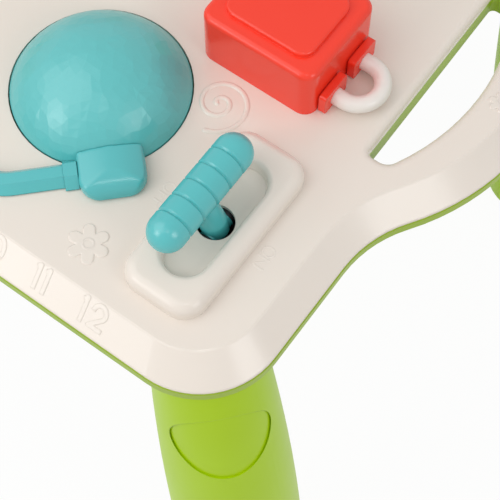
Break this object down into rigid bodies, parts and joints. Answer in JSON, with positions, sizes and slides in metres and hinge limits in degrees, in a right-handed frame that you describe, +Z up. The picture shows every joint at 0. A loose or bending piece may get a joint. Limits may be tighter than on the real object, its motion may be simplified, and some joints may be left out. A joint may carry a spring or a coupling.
{
  "type": "activity table",
  "caption": "Toddler's activity table: bevelled play top with bowed end handles, a tilting start lever, a sound dome, keys, meshing gears and a roller, on splayed legs.",
  "frame": {"origin": "on the floor, under the middle of the table", "axes": "+X along the numbered front edge to the right, +Y to the back, +Z up"},
  "size_m": [0.607, 0.4844, 0.439],
  "materials": {
    "deck_cream": "moulded, soft gloss",
    "tray_green": "moulded, soft gloss",
    "leg_green": "moulded, soft gloss",
    "turquoise": "moulded, soft gloss",
    "dome_turquoise": "moulded, faintly faceted",
    "pump_red": "moulded, glossy",
    "loop_white": "moulded, glossy",
    "pad_rubber": "matt",
    "steel": "zinc plated",
    "inner_plastic": "matt moulded",
    "board_green": "lacquered board",
    "lamp_lens": "clear moulded",
    "cell_jacket": "printed jacket, bare"
  },
  "bodies": {
    "table": {"top_shell": "deck_cream", "base_tray": "tray_green", "battery_door": "tray_green", "leg_front_right": "leg_green", "leg_front_left": "leg_green", "leg_rear_right": "leg_green", "leg_rear_left": "leg_green", "keyboard_housing": "leg_green", "elbow_pod": "turquoise", "pipe_collars": "turquoise", "bent_pipe": "turquoise", "roller_frame": "turquoise", "sound_dome": "dome_turquoise", "pump_box": "pump_red", "pump_flanges": "pump_red", "loop_pipe": "loop_white", "gear_caps": "loop_white", "gear_posts": "loop_white", "foot_pads": "pad_rubber", "key_contacts": "pad_rubber", "lever_axle": "steel", "key_axle": "steel", "roller_axle": "steel", "tray_screws": "steel", "door_screw": "steel", "battery_contacts": "steel", "lever_bracket": "inner_plastic", "lever_switch": "inner_plastic", "battery_box": "inner_plastic", "speaker": "inner_plastic", "circuit_board": "board_green", "lamp_board": "board_green", "dome_lamp": "lamp_lens", "battery_cells": "cell_jacket"},
    "lever": {"lever": "turquoise"},
    "key_1": {"key_1": "pump_red"},
    "key_2": {"key_2": "loop_white"},
    "key_3": {"key_3": "turquoise"},
    "key_4": {"key_4": "loop_white"},
    "key_5": {"key_5": "pump_red"},
    "gear_large": {"gear_large": "turquoise"},
    "gear_medium": {"gear_medium": "pump_red"},
    "gear_small": {"gear_small": "leg_green"},
    "roller": {"roller_drum": "leg_green"}
  },
  "joints": [
    {"name": "lever_tilt", "type": "hinge", "parent": "table", "child": "lever", "pos_m": [0.2005, -0.1433, 0.396], "axis": [0, 1, 0], "range_deg": [0, 30.6]},
    {"name": "key_1_press", "type": "hinge", "parent": "table", "child": "key_1", "pos_m": [-0.165, -0.0855, 0.403], "axis": [1, 0, 0], "range_deg": [0, 3.8], "stiffness_Nm_per_rad": 0.3, "springref_deg": -1.72},
    {"name": "key_2_press", "type": "hinge", "parent": "table", "child": "key_2", "pos_m": [-0.135, -0.0855, 0.403], "axis": [1, 0, 0], "range_deg": [0, 3.8], "stiffness_Nm_per_rad": 0.3, "springref_deg": -1.72},
    {"name": "key_3_press", "type": "hinge", "parent": "table", "child": "key_3", "pos_m": [-0.105, -0.0855, 0.403], "axis": [1, 0, 0], "range_deg": [0, 3.8], "stiffness_Nm_per_rad": 0.3, "springref_deg": -1.72},
    {"name": "key_4_press", "type": "hinge", "parent": "table", "child": "key_4", "pos_m": [-0.075, -0.0855, 0.403], "axis": [1, 0, 0], "range_deg": [0, 3.8], "stiffness_Nm_per_rad": 0.3, "springref_deg": -1.72},
    {"name": "key_5_press", "type": "hinge", "parent": "table", "child": "key_5", "pos_m": [-0.045, -0.0855, 0.403], "axis": [1, 0, 0], "range_deg": [0, 3.8], "stiffness_Nm_per_rad": 0.3, "springref_deg": -1.72},
    {"name": "gear_large_spin", "type": "hinge", "parent": "table", "child": "gear_large", "pos_m": [-0.15, 0.096, 0.408], "axis": [0, 0, 1], "continuous": true},
    {"name": "gear_medium_spin", "type": "hinge", "parent": "table", "child": "gear_medium", "pos_m": [-0.07122, 0.10989, 0.408], "axis": [0, 0, 1], "continuous": true},
    {"name": "gear_small_spin", "type": "hinge", "parent": "table", "child": "gear_small", "pos_m": [-0.02046, 0.08622, 0.408], "axis": [0, 0, 1], "continuous": true},
    {"name": "roller_spin", "type": "hinge", "parent": "table", "child": "roller", "pos_m": [0.14, 0.108, 0.406], "axis": [1, 0, 0], "continuous": true}
  ],
  "couplings": [
    {"joint": "gear_medium_spin", "follows": "gear_large_spin", "ratio": -1.5},
    {"joint": "gear_small_spin", "follows": "gear_large_spin", "ratio": 2}
  ]
}
